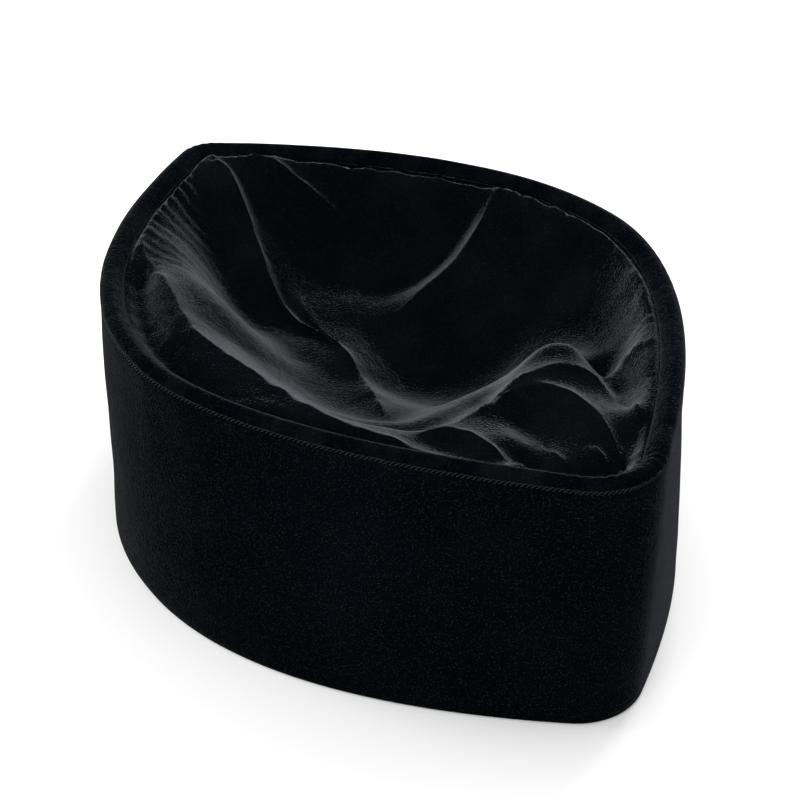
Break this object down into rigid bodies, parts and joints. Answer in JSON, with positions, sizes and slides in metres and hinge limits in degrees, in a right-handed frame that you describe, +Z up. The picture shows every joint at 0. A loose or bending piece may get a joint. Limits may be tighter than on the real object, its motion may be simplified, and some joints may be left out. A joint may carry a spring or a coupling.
{
  "type": "velvet fez cap with a sunken crown",
  "caption": "Brimless soft velvet cap with an upright side band, a rolled top edge and a loose crown that sinks inside it in folds.",
  "frame": {"origin": "middle of the cap's length and width, on the level of the hem it stands on", "axes": "+Z up, X across the cap, Y along it from the front tip at -Y to the back tip at +Y"},
  "size_m": [0.168, 0.2348, 0.0789],
  "materials": {
    "band_velvet": "black velvet pile",
    "roll_velvet": "black velvet pile, turned over an edge cord",
    "crown_velvet": "black velvet pile, loose and creased"
  },
  "bodies": {
    "root": {"side_band": "band_velvet", "edge_roll": "roll_velvet", "crown": "crown_velvet"}
  },
  "joints": []
}
